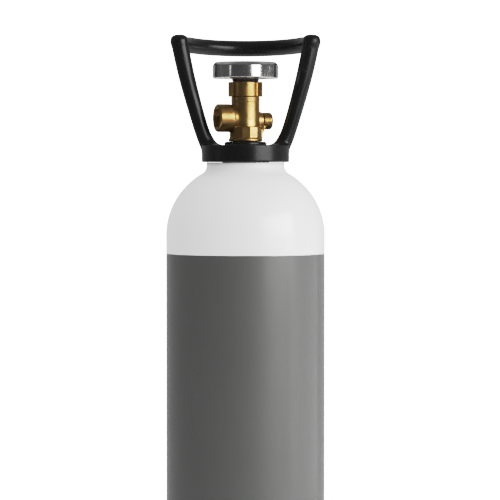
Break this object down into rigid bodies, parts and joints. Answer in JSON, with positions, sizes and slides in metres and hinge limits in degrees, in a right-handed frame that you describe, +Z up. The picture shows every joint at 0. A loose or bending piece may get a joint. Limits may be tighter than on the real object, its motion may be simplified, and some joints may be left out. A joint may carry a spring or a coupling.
{
  "type": "compressed gas cylinder",
  "caption": "Tall steel gas cylinder for breathing gas, with a domed shoulder, brass handwheel valve with side outlet, open-front carrying guard and floor boot.",
  "frame": {"origin": "on the cylinder's axis, on the floor under the boot", "axes": "+Z up along the cylinder's axis; -Y towards the open front of the guard; the valve outlet points to -X, turned 18 degrees towards -Y"},
  "size_m": [0.1786, 0.1786, 0.7922],
  "materials": {
    "cylinder_paint": "semi-gloss enamel, grey body with a white shoulder",
    "moulded_plastic": "fine moulded satin",
    "brass": "forged and turned, slightly aged",
    "chrome_wheel": "polished, fine scratches",
    "zinc_steel": "satin zinc plate",
    "seal_rubber": "matte",
    "seal_polymer": "matte"
  },
  "bodies": {
    "cylinder": {"cylinder_shell": "cylinder_paint", "tank_boot": "moulded_plastic", "neck_ring": "zinc_steel", "carry_guard": "moulded_plastic", "guard_lock_screw_left": "zinc_steel", "guard_lock_screw_right": "zinc_steel", "inspection_ring": "moulded_plastic", "neck_o_ring": "seal_rubber", "valve_body": "brass", "debris_tube": "brass", "gland_nut": "brass", "relief_plug": "brass", "burst_disc": "zinc_steel", "relief_gasket": "seal_polymer", "thrust_washer": "seal_polymer", "spindle_o_ring_lower": "seal_rubber", "spindle_o_ring_upper": "seal_rubber", "packing_ring": "seal_polymer"},
    "spindle": {"upper_spindle": "brass", "handwheel": "chrome_wheel", "handwheel_collar": "moulded_plastic", "handwheel_spring": "zinc_steel", "handwheel_washer": "zinc_steel", "handwheel_nut": "zinc_steel"},
    "plug": {"lower_spindle": "brass", "seat_disc": "seal_polymer"}
  },
  "joints": [
    {"name": "handwheel_turn", "type": "hinge", "parent": "cylinder", "child": "spindle", "pos_m": [0, 0, 0.75], "axis": [0, 0, 1], "range_deg": [0, 720]},
    {"name": "plug_lift", "type": "slide", "parent": "spindle", "child": "plug", "axis": [0, 0, 1], "range_m": [0, 0.0025]}
  ],
  "couplings": [
    {"joint": "plug_lift", "follows": "handwheel_turn", "m_per_rad": 0.00019894}
  ]
}
